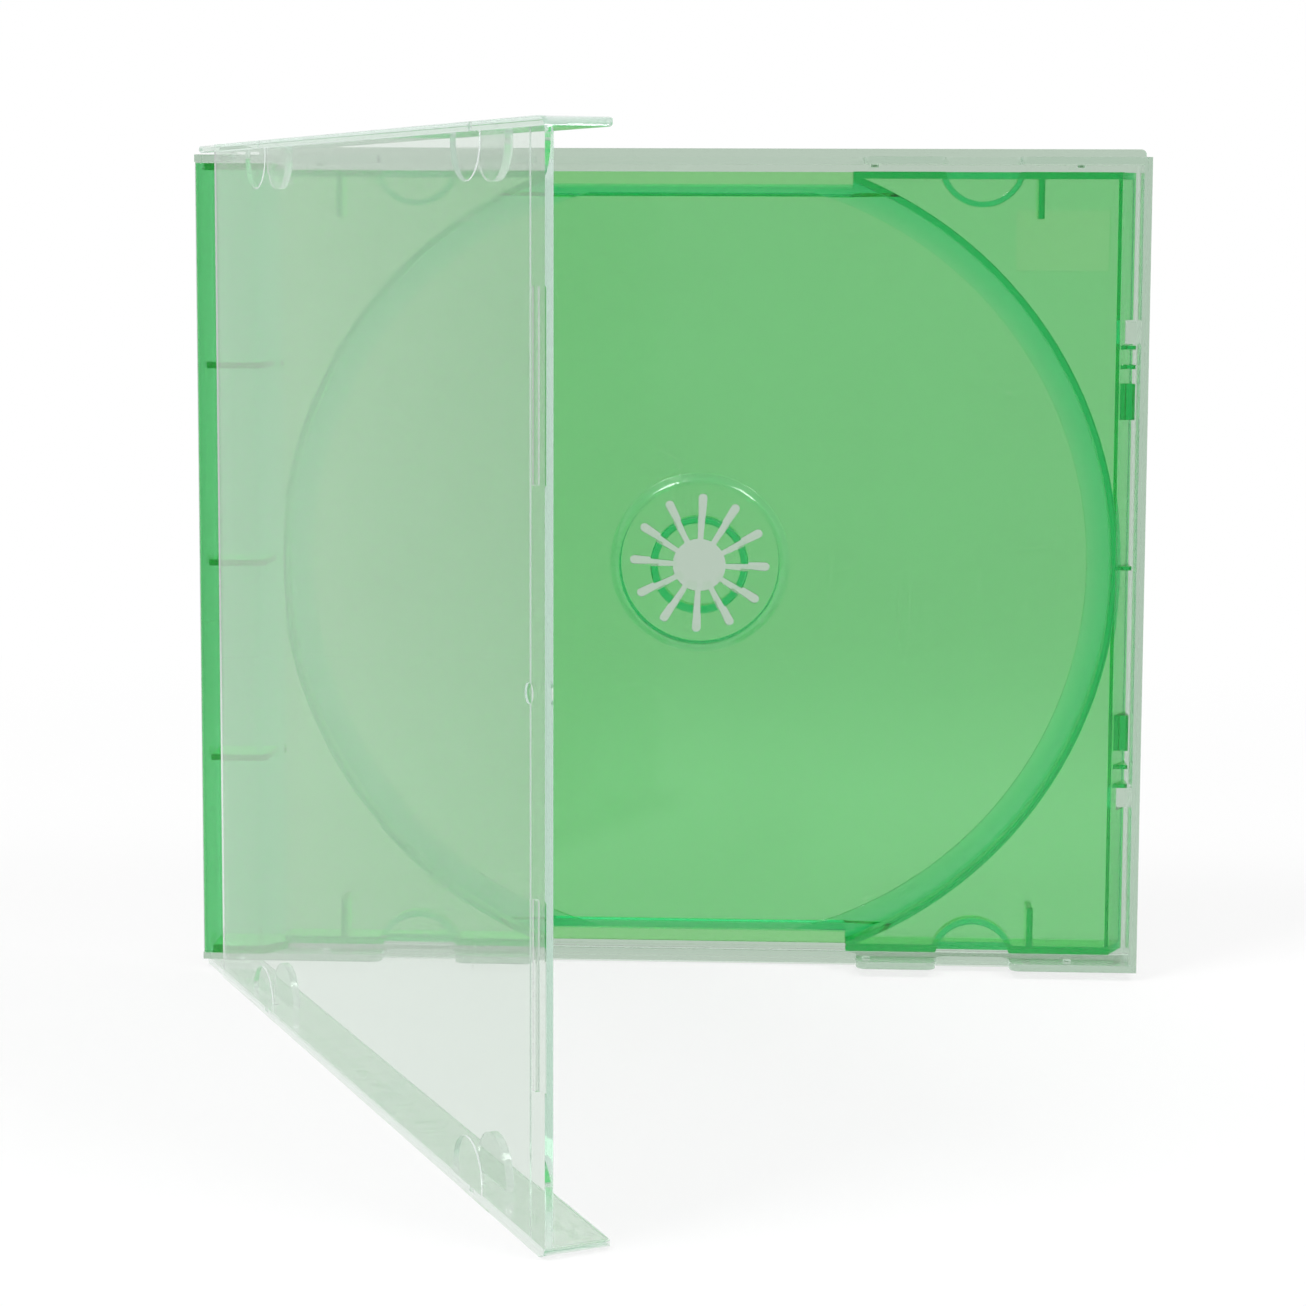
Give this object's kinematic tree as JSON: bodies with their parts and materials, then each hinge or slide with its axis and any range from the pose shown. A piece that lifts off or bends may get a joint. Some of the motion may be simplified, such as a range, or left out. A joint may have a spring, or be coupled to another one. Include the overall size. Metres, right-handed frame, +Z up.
{
  "type": "cd jewel case",
  "caption": "Empty hinged plastic disc case standing open like a book: clear lid with booklet tabs, clear base and a translucent green disc tray with a slotted snap hub.",
  "frame": {"origin": "middle of the base's lower long edge, on the surface that the case stands on", "axes": "+X across the case from the hinge to the free edge of the base, +Y out of the back of the base, +Z up along the hinge"},
  "size_m": [0.142, 0.1295, 0.125],
  "materials": {
    "clear_plastic": "clear moulded polystyrene, polished",
    "green_plastic": "translucent green moulded polystyrene, polished"
  },
  "bodies": {
    "base": {"base": "clear_plastic", "disc_tray": "green_plastic"},
    "lid": {"lid": "clear_plastic"}
  },
  "joints": [
    {"name": "lid_hinge", "type": "hinge", "parent": "base", "child": "lid", "pos_m": [-0.0658, -0.0044, 0.0625], "axis": [0, 0, -1], "range_deg": [-63, 117]}
  ]
}
